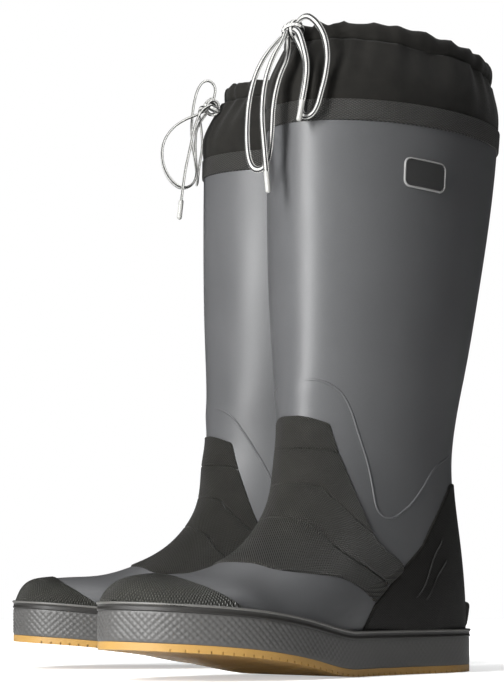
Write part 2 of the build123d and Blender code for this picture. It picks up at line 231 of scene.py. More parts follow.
def spline_bend(knots, level_start=False):
    """The matrix that turns values at the knots into second derivatives: free ends, or a level start."""
    count = len(knots)
    gap = np.diff(knots)
    left, right = np.eye(count), np.zeros((count, count))
    if level_start:
        left[0, :2] = 2 * gap[0], gap[0]
        right[0, :2] = -6 / gap[0], 6 / gap[0]
    for i in range(1, count - 1):
        left[i, i - 1:i + 2] = gap[i - 1], 2 * (gap[i - 1] + gap[i]), gap[i]
        right[i, i - 1:i + 2] = 6 / gap[i - 1], -6 / gap[i - 1] - 6 / gap[i], 6 / gap[i]
    return np.linalg.solve(left, right)


def along(rows, knots, bend, where):
    """Points of the cubic spline through rows, (sections, points, axes); where has one value a point."""
    second = np.tensordot(bend, rows, 1)
    i = np.clip(np.searchsorted(knots, where) - 1, 0, len(knots) - 2)
    gap = (knots[i + 1] - knots[i])[:, None]
    b = (where - knots[i])[:, None] / gap
    a = 1 - b
    pick = np.arange(len(where))
    straight = a * rows[i, pick] + b * rows[i + 1, pick]
    curved = (a**3 - a) * second[i, pick] + (b**3 - b) * second[i + 1, pick]
    return straight + curved * gap**2 / 6


class Skin:
    """A lofted surface, by the angle round it and the distance along it, in millimetres."""

    def __init__(self, sections):
        self.sections = sections
        around = sections(np.linspace(0, 2 * pi, 73)[:-1], 0.0)
        steps = np.linalg.norm(np.diff(around, axis=0), axis=2).mean(axis=1)
        self.knots = np.concatenate([[0.0], np.cumsum(steps)])
        self.bend = spline_bend(self.knots)
        self.length = self.knots[-1]

    def base(self, theta, where):
        """The points, and how far each moves for a millimetre of growth."""
        plain = along(self.sections(theta, 0.0), self.knots, self.bend, where)
        grown = along(self.sections(theta, 1.0), self.knots, self.bend, where)
        return plain, grown - plain


boot = Skin(boot_sections)
FULL_TURN = (0.5 * pi, 2.5 * pi)
FRONT = 1.5 * pi


LIFT_KNOTS = np.array([LIFT_START] + [p[0] for p in LIFT_POINTS] + [LIFT_END])
LIFT_VALUES = np.array([0.0] + [p[1] for p in LIFT_POINTS] + [LIFT_POINTS[-1][1] + LIFT_END_RISE])
LIFT_BEND = spline_bend(LIFT_KNOTS, level_start=True)


def lift(forward):
    """How far the sole's underside is above the floor."""
    where = np.clip(forward, LIFT_KNOTS[0], LIFT_KNOTS[-1])
    rows = np.broadcast_to(LIFT_VALUES[:, None, None], (len(LIFT_VALUES), len(where), 1))
    return along(rows, LIFT_KNOTS, LIFT_BEND, where)[:, 0]


# ---- lines and regions in side view ------------
def smooth_line(points, pieces=8):
    """A Catmull-Rom curve through the points, in any number of dimensions."""
    p = np.asarray(points, float)
    p = np.vstack([2 * p[0] - p[1], p, 2 * p[-1] - p[-2]])
    t = np.linspace(0, 1, pieces, endpoint=False)[:, None]
    out = []
    for a, b, c, d in zip(p, p[1:], p[2:], p[3:]):
        out.append(b + 0.5 * t * (c - a + t * (2 * a - 5 * b + 4 * c - d + t * (3 * (b - c) + d - a))))
    return np.vstack(out + [p[-2:-1]])


def edge_distance(points, a, b):
    """The distance to a straight edge from a to b."""
    run = b - a
    share = np.clip(((points - a) @ run) / max(run @ run, 1e-9), 0, 1)
    return np.linalg.norm(points - a - share[:, None] * run, axis=1)


def inside_distance(points, polygon):
    """The distance to a polygon's edge, positive inside it."""
    start = np.asarray(polygon, float)
    best = np.full(len(points), np.inf)
    inside = np.zeros(len(points), bool)
    for a, b in zip(start, np.roll(start, -1, axis=0)):
        best = np.minimum(best, edge_distance(points, a, b))
        crosses = (points[:, 1] < a[1]) != (points[:, 1] < b[1])
        if a[1] != b[1]:
            reached = a[0] + (points[:, 1] - a[1]) / (b[1] - a[1]) * (b[0] - a[0])
            inside ^= crosses & (points[:, 0] < reached)
    return np.where(inside, best, -best)


def line_distance(points, line):
    """The distance to an open line."""
    return np.min([edge_distance(points, a, b) for a, b in zip(line, line[1:])], axis=0)


def over_sole(points, high):
    """The height of points above a level of the lifted sole."""
    return points[:, 2] - lift(points[:, 1]) - high


def side_region(outline, high):
    """A region of the skin: inside a side-view outline and above a level of the sole."""
    def region(points):
        return np.minimum(inside_distance(points[:, 1:], outline), over_sole(points, high))
    return region


# ---- meshes ------------
def new_object(name, points, faces, materials, uv=None):
    """A smooth-shaded mesh object in the pair's frame; uv has one pair for each corner of each face."""
    mesh = bpy.data.meshes.new(name)
    mesh.from_pydata(points.tolist(), [], [tuple(int(i) for i in face) for face in faces])
    if uv is not None:
        layer = mesh.uv_layers.new(name="pattern")
        layer.data.foreach_set("uv", np.concatenate([np.asarray(c, float).ravel() for c in uv]))
    for item in materials:
        mesh.materials.append(item)
    mesh.polygons.foreach_set("use_smooth", np.ones(len(mesh.polygons), bool))
    piece = bpy.data.objects.new(name, mesh)
    bpy.context.scene.collection.objects.link(piece)
    return piece


def boot_object(name, points, faces, side, materials, uv=None, smooth_angle=40, face_material=None):
    """A mesh object from points in a boot's own frame."""
    if side == "right":
        faces = [tuple(face)[::-1] for face in faces]
        if uv is not None:
            uv = [list(corners)[::-1] for corners in uv]
    piece = new_object(name, place(points, side), faces, materials, uv)
    if face_material is not None:
        piece.data.polygons.foreach_set("material_index", np.asarray(face_material, np.int32))
    piece.data.set_sharp_from_angle(angle=radians(smooth_angle))
    piece.data.validate()
    return piece


def tube_faces(rings, sides, closed=False):
    """Faces between rings of points: a ring closed on itself, or an open tube with two end caps."""
    faces = []
    for r in range(rings if closed else rings - 1):
        q = (r + 1) % rings
        for k in range(sides):
            j = (k + 1) % sides
            faces.append((r * sides + k, r * sides + j, q * sides + j, q * sides + k))
    if not closed:
        faces += [tuple(range(sides))[::-1], tuple(range((rings - 1) * sides, rings * sides))]
    return faces


def tube_uv(rings, sides, step, rise):
    """Pattern coordinates for a closed tube: step round it from point to point, rise from ring to ring."""
    uv = []
    for r in range(rings):
        low, high = r * rise, (r + 1) * rise
        for k in range(sides):
            near, far = k * step, (k + 1) * step
            uv.append([(near, low), (far, low), (far, high), (near, high)])
    return uv


def turned_over(faces):
    return [(face[0],) + face[:0:-1] for face in faces]


def finish_piece(piece, side, slot, *nodes):
    """Rides on its boot and stands for CAD nodes; the slot is not used."""
    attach(piece, f"{side}_boot")
    if nodes:
        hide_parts(*[f"{node}_{side}" for node in nodes])


def split_at(params, triangles, field, level):
    """Splits the triangles along the line where field equals level."""
    inside = field > level
    count = inside[triangles].sum(axis=1)
    mixed = (count == 1) | (count == 2)
    cut, kept = triangles[mixed], triangles[~mixed]
    if not len(cut):
        return params, triangles, field
    lone = inside[cut] == (count[mixed] == 1)[:, None]
    first = lone.argmax(axis=1)
    row = np.arange(len(cut))
    a, b, c = (cut[row, (first + k) % 3] for k in range(3))
    edges = np.sort(np.vstack([np.stack([a, b], 1), np.stack([a, c], 1)]), axis=1)
    unique, index = np.unique(edges, axis=0, return_inverse=True)
    index = index.ravel()
    f0, f1 = field[unique[:, 0]], field[unique[:, 1]]
    share = ((level - f0) / (f1 - f0))[:, None]
    added = params[unique[:, 0]] * (1 - share) + params[unique[:, 1]] * share
    ab = len(params) + index[:len(cut)]
    ac = len(params) + index[len(cut):]
    parts = [np.stack([a, ab, ac], 1), np.stack([ab, b, c], 1), np.stack([ab, c, ac], 1)]
    field = np.concatenate([field, np.full(len(unique), level)])
    return np.vstack([params, added]), np.vstack([kept] + parts), field


def grid(theta_range, where_range, step):
    """Triangles over a patch of the skin: angle and distance, about step apart."""
    rows = max(2, int((where_range[1] - where_range[0]) / step))
    columns = max(2, int((theta_range[1] - theta_range[0]) * MEAN_RADIUS / step))
    theta, where = np.meshgrid(np.linspace(*theta_range, columns + 1), np.linspace(*where_range, rows + 1))
    params = np.stack([theta.ravel(), where.ravel()], axis=1)
    corner = (np.arange(rows)[:, None] * (columns + 1) + np.arange(columns)).ravel()
    right, up, across = corner + 1, corner + columns + 1, corner + columns + 2
    triangles = np.vstack([np.stack([corner, right, across], 1), np.stack([corner, across, up], 1)])
    return params, triangles


def clipped(region, theta_range, where_range, step, levels):
    """The boot's skin where region is positive, with lines of points at the given distances inside it."""
    params, triangles = grid(theta_range, where_range, step)
    field = region(boot.base(params[:, 0], params[:, 1])[0])
    for level in levels:
        params, triangles, field = split_at(params, triangles, field, level)
    keep = field[triangles].mean(axis=1) > levels[0]
    used, triangles = np.unique(triangles[keep], return_inverse=True)
    return params[used], triangles.reshape(-1, 3), np.maximum(field[used], 0.0)


def welded(points, triangles):
    """Joins points in one place, as where a patch closes on itself."""
    _, first, index = np.unique(np.round(points * 500), axis=0, return_index=True, return_inverse=True)
    triangles = index.ravel()[triangles]
    good = (triangles[:, 0] != triangles[:, 1]) & (triangles[:, 1] != triangles[:, 2])
    good &= triangles[:, 2] != triangles[:, 0]
    return first, triangles, good


def closed_shell(top, bottom, triangles):
    """The points and faces of a closed layer between two copies of an open patch."""
    count = len(top)
    directed = np.vstack([triangles[:, [0, 1]], triangles[:, [1, 2]], triangles[:, [2, 0]]])
    key = directed[:, 0] * count + directed[:, 1]
    back = directed[:, 1] * count + directed[:, 0]
    rim = directed[~np.isin(key, back)]
    faces = [tuple(t) for t in triangles]
    faces += [tuple(t) for t in triangles[:, ::-1] + count]
    faces += [(b, a, a + count, b + count) for a, b in rim]
    return np.vstack([top, bottom]), faces


def layer(name, side, region, where_range, step, height, under, pattern, looks,
          levels=(0.0, 0.35, 1.1), split_level=None, theta_range=FULL_TURN):
    """A closed layer on the skin: height(field) is its growth, under the growth of its underside."""
    params, triangles, field = clipped(region, theta_range, where_range, step, levels)
    base, out = boot.base(params[:, 0], params[:, 1])
    flat_uv = np.stack(pattern(params, base), axis=1)
    first, joined, good = welded(base, triangles)
    joined, corners = joined[good], triangles[good]
    a, b, c = (base[first][joined[:, k]] for k in range(3))
    facing = (np.cross(b - a, c - a) * out[first][joined[:, 0]]).sum()
    if facing < 0:
        joined, corners = joined[:, ::-1], corners[:, ::-1]
    lower = base[first] + out[first] * under
    upper = base[first] + out[first] * height(field[first])[:, None]
    points, faces = closed_shell(upper, lower, joined)
    uv = [flat_uv[t] for t in corners] + [flat_uv[t[::-1]] for t in corners]
    rim_uv = dict(zip(joined.ravel().tolist(), corners.ravel().tolist()))
    for face in faces[2 * len(joined):]:
        uv.append(flat_uv[[rim_uv[i % len(first)] for i in face]])
    face_material = None
    if split_level is not None:
        face_material = np.zeros(len(faces), np.int32)
        face_material[:len(joined)] = field[first][joined].mean(axis=1) > split_level
    return boot_object(name, points, faces, side, [LOOKS[look] for look in looks], uv,
                       face_material=face_material)


def rounded_edge(full, radius, start=-0.3):
    """A layer's height by the distance from its edge: a quarter round, then level."""
    def height(field):
        near = 1 - np.clip(field / radius, 0, 1)
        return start + (full - start) * np.sqrt(np.clip(1 - near**2, 0, 1))
    return height


def around_and_up(params, base):
    """Distance round from the front line and height, for patterns on the shaft."""
    return (params[:, 0] - FRONT) * SHAFT_RADIUS, base[:, 2]


# ---- materials ------------
def node(tree, kind, inputs=None, **settings):
    """Adds a shader node; inputs are values or sockets by name or number."""
    made = tree.nodes.new("ShaderNode" + kind)
    for key, value in settings.items():
        setattr(made, key, value)
    for key, value in (inputs or {}).items():
        if isinstance(value, bpy.types.NodeSocket):
            tree.links.new(value, made.inputs[key])
        else:
            made.inputs[key].default_value = value
    return made


def maths(tree, operation, *values):
    return node(tree, "Math", dict(enumerate(values)), operation=operation).outputs[0]


def mixed_colour(tree, share, first, second):
    mix = node(tree, "Mix", {0: share}, data_type="RGBA")
    for socket, colour in zip((mix.inputs[6], mix.inputs[7]), (first, second)):
        if isinstance(colour, bpy.types.NodeSocket):
            tree.links.new(colour, socket)
        else:
            socket.default_value = (*colour, 1)
    return mix.outputs[2]


def noise(tree, scale, detail=2.0, rough=0.5):
    """Noise of the object's own coordinates, from 0 to 1."""
    where = node(tree, "TexCoord").outputs["Object"]
    settings = {"Vector": where, "Scale": scale, "Detail": detail, "Roughness": rough}
    return node(tree, "TexNoise", settings).outputs["Fac"]


def new_material(name, roughness, specular=0.5):
    made = bpy.data.materials.new(name)
    made.use_nodes = True
    tree = made.node_tree
    shader = tree.nodes["Principled BSDF"]
    shader.inputs["Roughness"].default_value = roughness
    shader.inputs["Specular IOR Level"].default_value = specular
    return made, tree, shader


def bump(tree, shader, height, distance):
    made = node(tree, "Bump", {"Height": height, "Distance": distance}).outputs[0]
    tree.links.new(made, shader.inputs["Normal"])


def pattern_axes(tree):
    """The two pattern coordinates of the surface, in millimetres."""
    where = node(tree, "UVMap", uv_map="pattern").outputs[0]
    split = node(tree, "SeparateXYZ", {0: where})
    return split.outputs[0], split.outputs[1]


def ridge_wave(tree, value, pitch):
    """A wave from 0 to 1 with rounded tops, one for each pitch."""
    turned = maths(tree, "MULTIPLY", value, pi / pitch)
    return maths(tree, "ABSOLUTE", maths(tree, "SINE", turned))


def rubber(name, dark, light, roughness, grain=0.00004, grain_scale=1400.0, specular=0.5):
    """Moulded rubber: slow mottling, fine grain and a little bloom."""
    made, tree, shader = new_material(name, roughness, specular)
    mottle = noise(tree, 14.0, 3.0)
    speck = noise(tree, grain_scale, 2.0, 0.6)
    share = maths(tree, "ADD", maths(tree, "MULTIPLY", mottle, 0.6), maths(tree, "MULTIPLY", speck, 0.4))
    tree.links.new(mixed_colour(tree, share, dark, light), shader.inputs["Base Color"])
    rough = node(tree, "MapRange", {0: mottle, 1: 0.3, 2: 0.7, 3: roughness - 0.05, 4: roughness + 0.06})
    tree.links.new(rough.outputs[0], shader.inputs["Roughness"])
    bump(tree, shader, speck, grain)
    return made


def knurled(name, dark, light, pitch, deep, roughness=0.42, skew=1.0, specular=0.35):
    """Rubber with a fine diamond knurl: rows across the pattern's two axes, with painted shade darkening its
    grooves.
    """
    made, tree, shader = new_material(name, roughness, specular)
    u, w = pattern_axes(tree)
    first = ridge_wave(tree, maths(tree, "ADD", maths(tree, "MULTIPLY", u, skew), w), pitch)
    second = ridge_wave(tree, maths(tree, "SUBTRACT", maths(tree, "MULTIPLY", u, skew), w), pitch)
    raised = maths(tree, "MULTIPLY", first, second)
    mottle = noise(tree, 60.0, 3.0)
    # colour by knurl height: painted shade in the grooves, lighter on the raised tips
    share = maths(tree, "MULTIPLY", raised, maths(tree, "ADD", maths(tree, "MULTIPLY", mottle, 0.8), 0.45))
    tree.links.new(mixed_colour(tree, share, dark, light), shader.inputs["Base Color"])
    bump(tree, shader, raised, deep)
    return made


def woven(name, dark, light, pitch, deep, roughness, sheen):
    """Plain-woven cloth with an even thread."""
    made, tree, shader = new_material(name, roughness, 0.15)
    u, w = pattern_axes(tree)
    warp = ridge_wave(tree, u, pitch)
    weft = ridge_wave(tree, w, pitch)
    thread = maths(tree, "MAXIMUM", warp, weft)
    mottle = noise(tree, 90.0, 4.0, 0.65)
    share = maths(tree, "MULTIPLY", thread, mottle)
    tree.links.new(mixed_colour(tree, share, dark, light), shader.inputs["Base Color"])
    shader.inputs["Sheen Weight"].default_value = sheen
    shader.inputs["Sheen Roughness"].default_value = 0.4
    bump(tree, shader, thread, deep)
    return made


def knit(name, dark, light, pitch, deep):
    """Jersey knit by the object's own coordinates: upright ribs broken by small stitches."""
    made, tree, shader = new_material(name, 0.9, 0.2)
    where = node(tree, "SeparateXYZ", {0: node(tree, "TexCoord").outputs["Object"]})
    across = maths(tree, "ADD", where.outputs[0], where.outputs[1])
    rib = ridge_wave(tree, across, pitch)
    stitch = ridge_wave(tree, where.outputs[2], pitch)
    share = maths(tree, "MULTIPLY", rib, maths(tree, "ADD", maths(tree, "MULTIPLY", stitch, 0.5), 0.5))
    tree.links.new(mixed_colour(tree, share, dark, light), shader.inputs["Base Color"])
    shader.inputs["Sheen Weight"].default_value = 0.2
    bump(tree, shader, share, deep)
    return made


def lace_material():
    """White flat braid with a dark stripe near each edge; the pattern's first axis runs from -1 to 1."""
    made, tree, shader = new_material("lace_braid", 0.8, 0.3)
    across, run = pattern_axes(tree)
    off = maths(tree, "ABSOLUTE", across)
    slant = maths(tree, "MULTIPLY", off, 1.1)
    braid = ridge_wave(tree, maths(tree, "ADD", run, slant), 1.3)
    near = maths(tree, "ABSOLUTE", maths(tree, "SUBTRACT", off, 0.62))
    stripe = maths(tree, "LESS_THAN", near, 0.27)
    white = mixed_colour(tree, braid, (0.26, 0.26, 0.25), (0.5, 0.5, 0.48))
    tree.links.new(mixed_colour(tree, stripe, white, (0.008, 0.008, 0.009)), shader.inputs["Base Color"])
    shader.inputs["Sheen Weight"].default_value = 0.15
    bump(tree, shader, braid, 0.00012)
    return made


def fibre_board():
    made, tree, shader = new_material("insole_fibre", 0.85, 0.2)
    speck = noise(tree, 700.0, 4.0, 0.7)
    brown = mixed_colour(tree, speck, (0.2, 0.14, 0.08), (0.42, 0.32, 0.2))
    tree.links.new(brown, shader.inputs["Base Color"])
    bump(tree, shader, speck, 0.0001)
    return made


KNURL_PITCH = 1.7
LOOKS = {
    "shell": rubber("grey_shell_rubber", (0.055, 0.056, 0.058), (0.088, 0.089, 0.092), 0.42, specular=0.3),
    "smooth": rubber("black_smooth_rubber", (0.006, 0.0055, 0.0045), (0.016, 0.0145, 0.0115), 0.5,
                     specular=0.3),
    "piping": rubber("piping_rubber", (0.010, 0.0095, 0.009), (0.026, 0.025, 0.023), 0.45, specular=0.3),
    # the lip's paler colour is a painted highlight along the piping's lit top edge
    "lip": rubber("piping_lip_painted_highlight", (0.05, 0.049, 0.045), (0.12, 0.118, 0.11), 0.38),
    "foxing": rubber("foxing_rubber", (0.045, 0.044, 0.042), (0.078, 0.077, 0.075), 0.42, specular=0.35),
    "gum": rubber("gum_rubber", (0.26, 0.14, 0.034), (0.40, 0.245, 0.075), 0.45, specular=0.25),
    "filler": rubber("sole_filler_rubber", (0.03, 0.03, 0.03), (0.06, 0.06, 0.06), 0.8, 0.0003, 500.0),
    # the four knurled looks below carry painted shade in their grooves
    "knurl": knurled("knurled_rubber", (0.005, 0.0048, 0.004), (0.046, 0.0445, 0.038), KNURL_PITCH, 0.0008),
    "toe": knurled("toe_cap_rubber", (0.005, 0.005, 0.004), (0.056, 0.0555, 0.047), KNURL_PITCH, 0.0008),
    "heel": knurled("heel_guard_rubber", (0.002, 0.0018, 0.0014), (0.009, 0.0078, 0.006), KNURL_PITCH,
                    0.00015, 0.55, specular=0.18),
    "trim": knurled("trim_rubber", (0.005, 0.0048, 0.0043), (0.065, 0.0635, 0.058), 1.6, 0.0007, skew=0.75),
    "plaque": rubber("plaque_rubber", (0.018, 0.018, 0.018), (0.034, 0.034, 0.034), 0.5),
    "plaque_rim": rubber("plaque_rim_rubber", (0.16, 0.16, 0.155), (0.26, 0.26, 0.255), 0.45),
    "nylon": woven("nylon_cloth", (0.003, 0.0028, 0.0023), (0.019, 0.018, 0.0155), 0.55, 0.00008, 0.85, 0.08),
    "lace": lace_material(),
    "tip": rubber("lace_tip_plastic", (0.22, 0.22, 0.21), (0.42, 0.42, 0.4), 0.3),
    "lining": knit("lining_knit", (0.05, 0.05, 0.052), (0.13, 0.13, 0.135), 0.0016, 0.0002),
    "footbed": knit("footbed_knit", (0.03, 0.03, 0.032), (0.08, 0.08, 0.085), 0.0022, 0.0003),
    "board": fibre_board(),
    "cord": knit("drawcord_braid", (0.5, 0.5, 0.48), (0.85, 0.85, 0.83), 0.0012, 0.0001),
}
NODE_LOOKS = {
    "outsole": "gum", "midsole": "filler", "insole_board": "board", "footbed": "footbed",
    "lining": "lining", "drawcord": "cord",
}
for name, look in NODE_LOOKS.items():
    for side in SIDES:
        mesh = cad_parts[f"{name}_{side}"].data
        mesh.materials.clear()
        mesh.materials.append(LOOKS[look])


# ---- laces ------------
def spline_points(name, points, side):
    """The line of the NURBS spline through a route, in the pair's frame, in metres."""
    curve = bpy.data.curves.new(name + "_route", "CURVE")
    curve.dimensions = "3D"
    curve.resolution_u = 12
    spline = curve.splines.new("NURBS")
    spline.points.add(len(points) - 1)
    for point, where in zip(spline.points, place(points, side)):
        point.co = (*where, 1.0)
    spline.order_u = 3
    spline.use_endpoint_u = True
    holder = bpy.data.objects.new(name + "_route", curve)
    bpy.context.scene.collection.objects.link(holder)
    line = bpy.data.meshes.new_from_object(holder)
    result = np.array([vertex.co[:] for vertex in line.vertices])
    bpy.data.objects.remove(holder)
    bpy.data.meshes.remove(line)
    return result


def unit(vector):
    return vector / max(np.linalg.norm(vector), 1e-9)


def facing_frames(line, outwards):
    """Tangents and flat-side normals along a line; the normals turn gently towards outwards."""
    tangents = np.gradient(line, axis=0)
    tangents /= np.linalg.norm(tangents, axis=1)[:, None]
    normals = []
    current = unit(outwards - (outwards @ tangents[0]) * tangents[0])
    step = np.linalg.norm(np.diff(line, axis=0), axis=1).mean()
    pull = min(1.0, step / (8 * MM))
    for tangent in tangents:
        current = unit(current - (current @ tangent) * tangent)
        wanted = outwards - (outwards @ tangent) * tangent
        if wanted @ current < 0:
            wanted = -wanted
        current = unit(current + pull * wanted)
        current = unit(current - (current @ tangent) * tangent)
        normals.append(current)
    return tangents, np.array(normals)


def ribbon(name, line, outwards, width, thick):
    """A flat braid with rounded edges along a line in the pair's frame."""
    tangents, normals = facing_frames(line, outwards)
    angles = np.linspace(0, 2 * pi, ROUND_SIDES + 1)[:-1]
    wide = np.sign(np.cos(angles)) * np.abs(np.cos(angles)) ** 0.7
    high = np.sign(np.sin(angles)) * np.abs(np.sin(angles)) ** 0.8
    run = np.concatenate([[0.0], np.cumsum(np.linalg.norm(np.diff(line, axis=0), axis=1))]) / MM
    rings = []
    for centre, tangent, normal in zip(line, tangents, normals):
        flat = np.outer(wide * width / 2, np.cross(tangent, normal))
        rings.append(centre + flat + np.outer(high * thick / 2, normal))
    faces = tube_faces(len(line), ROUND_SIDES)
    uv = [[(wide[corner % ROUND_SIDES], run[corner // ROUND_SIDES]) for corner in face] for face in faces]
    return new_object(name, np.vstack(rings), faces, [LOOKS["lace"]], uv)


def lace_tip(name, line):
    """The ribbed plastic sleeve on a tail's end, in line with its last run."""
    direction = unit(line[-1] - line[-2])
    start = line[-1] - direction * TIP_OVERLAP * MM
    length = (TIP_LENGTH + TIP_OVERLAP) * MM
    sideways = unit(np.cross(direction, [0.3, 1.0, 0.1]))
    other = np.cross(direction, sideways)
    angles = np.linspace(0, 2 * pi, ROUND_SIDES + 1)[:-1]
    around = np.outer(np.cos(angles), sideways) + np.outer(np.sin(angles), other)
    rings = []
    for share in np.arange(TIP_RINGS + 1) / TIP_RINGS:
        end = min(1.0, 0.55 + 6 * min(share, 1 - share))
        radius = TIP_RADIUS * MM * end * (1 + 0.05 * sin(share * TIP_RIBS * 2 * pi))
        rings.append(start + direction * length * share + around * radius)
    return new_object(name, np.vstack(rings), tube_faces(len(rings), ROUND_SIDES), [LOOKS["tip"]])


def boot_axes(side):
    """The boot's own across and forward directions in the pair's frame."""
    heel = place((0, 0, 0), side)
    return unit(place((1, 0, 0), side) - heel), unit(place((0, 1, 0), side) - heel)


def knot(side):
    """The tied knot: the lace wrapped round the bow's middle, with one strand crossing in front."""
    centre = place(KNOTS[side], side)
    across, ahead = boot_axes(side)
    up = np.array([0.0, 0.0, 1.0])
    turns = np.linspace(0, 2 * pi * 2.4, 90)
    slide = np.linspace(-3.6, 3.6, 90)[:, None] * MM
    rise = 5.2 * MM * np.sin(turns)[:, None] * up
    reach = 4.4 * MM * np.cos(turns)[:, None] * ahead
    line = centre + slide * (across + 0.25 * up) + rise + reach
    piece = ribbon(f"knot_{side}", line, ahead, LACE_WIDTH * MM, 2.2 * MM)
    wrap = np.linspace(0, 2 * pi, 40)
    core = centre + 5.5 * MM * np.cos(wrap)[:, None] * across + 3.2 * MM * np.sin(wrap)[:, None] * ahead
    core = core + 2.2 * MM * np.sin(wrap + 0.6)[:, None] * up
    heart = ribbon(f"knot_heart_{side}", core, up, 6.0 * MM, 3.4 * MM)
    finish_piece(piece, side, "lace", "bow_knot")
    finish_piece(heart, side, "lace")
    return piece, heart


def make_laces(side):
    outwards = unit(boot_axes(side)[1] + np.array([0.0, 0.0, 0.25]))
    knot_pieces = knot(side)
    for name, points in LACES[side].items():
        line = spline_points(name, points, side)
        letter = name[-1]
        piece = ribbon(f"{name[4:]}_{side}", line, outwards, LACE_WIDTH * MM, LACE_THICKNESS * MM)
        finish_piece(piece, side, "lace", name)
        if "tail" in name:
            tip = lace_tip(f"tail_tip_{letter}_{side}", line)
            finish_piece(tip, side, "lace_tip", f"lace_tip_{letter}")


# ---- shell, guards and badge ------------
GUARD_OUTLINE = np.vstack([
    [(240, 163), (158, 163)], smooth_line(GUARD_BACK)[1:], smooth_line(GUARD_FRONT),
])
BANDS = [
    np.vstack([smooth_line(GUARD_SEAMS[0]), [(100, 180), (240, 180)]]),
    np.vstack([smooth_line(GUARD_SEAMS[0]), smooth_line(GUARD_SEAMS[1])[::-1]]),
    np.vstack([smooth_line(GUARD_SEAMS[1]), smooth_line(GUARD_SEAMS[2])[::-1]]),
    np.vstack([smooth_line(GUARD_SEAMS[2]), [(80, 0), (240, 0)]]),
]
GUARD_NAMES = ("instep_guard_top", "instep_guard_upper", "instep_guard_middle", "instep_guard_lower")
TOE_OUTLINE = np.vstack([smooth_line(TOE_CAP_EDGE), [(340, 75), (340, 18)]])
HEEL_OUTLINE = np.vstack([smooth_line(HEEL_EDGE), [(139, 0), (-60, 0), (-60, 125)]])
HIDDEN_EDGE = PIPING_TOP - 2.0
VAMP_REGION = [(125, 0), (345, 0), (345, 120), (125, 120)]
TOE_REACH = (0.0, 130.0)
ANKLE_REACH = (60.0, 330.0)


def make_shell(side):
    def leg(points):
        beyond = np.minimum(-inside_distance(points[:, 1:], VAMP_REGION), SHELL_TOP - points[:, 2])
        return np.minimum(beyond, over_sole(points, BOARD_BASE))

    for name, region in (("leg", leg), ("vamp", side_region(VAMP_REGION, BOARD_BASE))):
        piece = layer(f"{name}_shell_{side}", side, region, (0.0, boot.length), 2.2,
                      lambda field: np.zeros(len(field)), -RUBBER_WALL + 0.1, around_and_up,
                      ["shell"], (0.0,))
        finish_piece(piece, side, "grey_rubber", name)


def arc_table(thetas, lengths):
    """Distance round the skin from its front middle line, for every length and angle of a grid."""
    table = []
    for length in lengths:
        base = boot.base(thetas, np.full(len(thetas), length))[0]
        steps = np.linalg.norm(np.diff(base, axis=0), axis=1)
        arc = np.concatenate([[0.0], np.cumsum(steps)])
        table.append(arc - np.interp(FRONT, thetas, arc))
    return np.array(table)


ARC_ROWS, ARC_COLUMNS = 120, 240
ARCS = arc_table(np.linspace(0, 2 * pi, ARC_COLUMNS + 1), np.linspace(0, boot.length, ARC_ROWS + 1))


def arc_round(params):
    """Distance round the skin from its front middle line to points given as angle and length."""
    row = np.clip(params[:, 1] / boot.length * ARC_ROWS, 0, ARC_ROWS - 0.001)
    column = np.clip(params[:, 0] / (2 * pi) * ARC_COLUMNS, 0, ARC_COLUMNS - 0.001)
    r, c = row.astype(int), column.astype(int)
    u, v = row - r, column - c
    near = ARCS[r, c] * (1 - v) + ARCS[r, c + 1] * v
    far = ARCS[r + 1, c] * (1 - v) + ARCS[r + 1, c + 1] * v
    return near * (1 - u) + far * u


def guard_rows(seam):
    """Pattern axes for a guard: round the boot, and the distance below its upper seam."""
    def pattern(params, base):
        return arc_round(params), line_distance(base[:, 1:], seam)
    return pattern


def toe_rows(params, base):
    """Pattern axes for the toe cap: arcs round its middle."""
    offset = base - np.array([-6.0, 252.0, 62.0])
    flat = np.arctan2(offset[:, 0], offset[:, 1])
    return flat * 38.0, np.linalg.norm(offset * [1.0, 1.0, 0.8], axis=1)


def side_rows(params, base):
    return base[:, 1], base[:, 2]


def make_guards(side):
    seams = [np.array([(160, 163.0), (100, 163.0)])] + [smooth_line(line[1:]) for line in GUARD_SEAMS]
    edge = rounded_edge(OVERLAY, 0.9)
    for name, band, seam in zip(GUARD_NAMES, BANDS, seams):
        def region(points, guard=side_region(GUARD_OUTLINE, HIDDEN_EDGE), band=band):
            return np.minimum(guard(points), inside_distance(points[:, 1:], band))
        piece = layer(f"{name}_cover_{side}", side, region, ANKLE_REACH, 2.0, edge, -0.5, guard_rows(seam),
                      ["knurl"])
        finish_piece(piece, side, "knurled_rubber", name)

    toe = side_region(TOE_OUTLINE, HIDDEN_EDGE)
    piece = layer(f"toe_cap_cover_{side}", side, toe, TOE_REACH, 1.8, edge, -0.5, toe_rows, ["toe"])
    finish_piece(piece, side, "knurled_rubber", "toe_cap")
    heel = side_region(HEEL_OUTLINE, HIDDEN_EDGE)
    piece = layer(f"heel_guard_cover_{side}", side, heel, ANKLE_REACH, 2.0, edge, -0.5, side_rows, ["heel"])
    finish_piece(piece, side, "black_rubber", "heel_guard")


def make_trim(side):
    def band(points):
        return np.minimum(points[:, 2] - TRIM_BOTTOM, TRIM_TOP - points[:, 2])
    piece = layer(f"trim_band_{side}", side, band, (boot.knots[-3], boot.length), 1.6,
                  rounded_edge(OVERLAY, 0.7, 0.0), -0.05, around_and_up, ["trim"])
    finish_piece(piece, side, "knurled_rubber", "top_trim")


